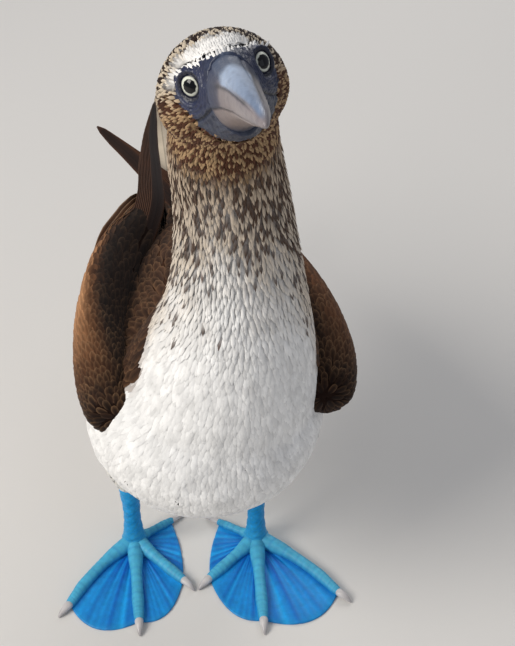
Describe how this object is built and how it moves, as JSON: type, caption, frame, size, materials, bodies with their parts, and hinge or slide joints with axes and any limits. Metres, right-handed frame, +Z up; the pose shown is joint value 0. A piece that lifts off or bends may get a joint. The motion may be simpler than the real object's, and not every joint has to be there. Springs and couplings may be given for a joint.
{
  "type": "bird model",
  "caption": "Still life-size seabird, standing on broad webbed feet, long neck raised and dagger-shaped bill turned up.",
  "frame": {"origin": "middle of the whole bird's footprint box, on the floor", "axes": "+Z up, -Y the way the bird faces, +X its left side"},
  "size_m": [0.22, 0.591, 0.5049],
  "materials": {
    "plumage_white": "soft white body feathers",
    "plumage_neck": "cream hackles with brown gaps",
    "plumage_crown": "short dark brown and cream feathers",
    "wing_brown": "brown coverts with pale edges",
    "wing_dark": "dark brown flight feathers",
    "tail_brown": "brown and pale tail feathers",
    "face_skin": "bare slate-blue skin, slightly moist",
    "bill_horn": "smooth blue-grey horn, satin",
    "foot_skin": "bright blue wrinkled skin",
    "claw_horn": "pale grey horn, satin",
    "eye_gloss": "wet, pale iris and black pupil"
  },
  "bodies": {
    "root": {"head": "plumage_crown", "face_skin": "face_skin", "throat_skin": "face_skin", "bill_upper": "bill_horn", "bill_lower": "bill_horn", "eye_right": "eye_gloss", "eye_left": "eye_gloss", "neck": "plumage_neck", "torso": "plumage_white", "wing_right": "wing_brown", "wing_left": "wing_brown", "tail": "tail_brown", "foot_right": "foot_skin", "tarsus_right": "foot_skin", "thigh_right": "plumage_white", "claw_right_outer": "claw_horn", "claw_right_middle": "claw_horn", "claw_right_inner": "claw_horn", "claw_right_hind": "claw_horn", "foot_left": "foot_skin", "tarsus_left": "foot_skin", "thigh_left": "plumage_white", "claw_left_outer": "claw_horn", "claw_left_middle": "claw_horn", "claw_left_inner": "claw_horn", "claw_left_hind": "claw_horn"}
  },
  "joints": []
}
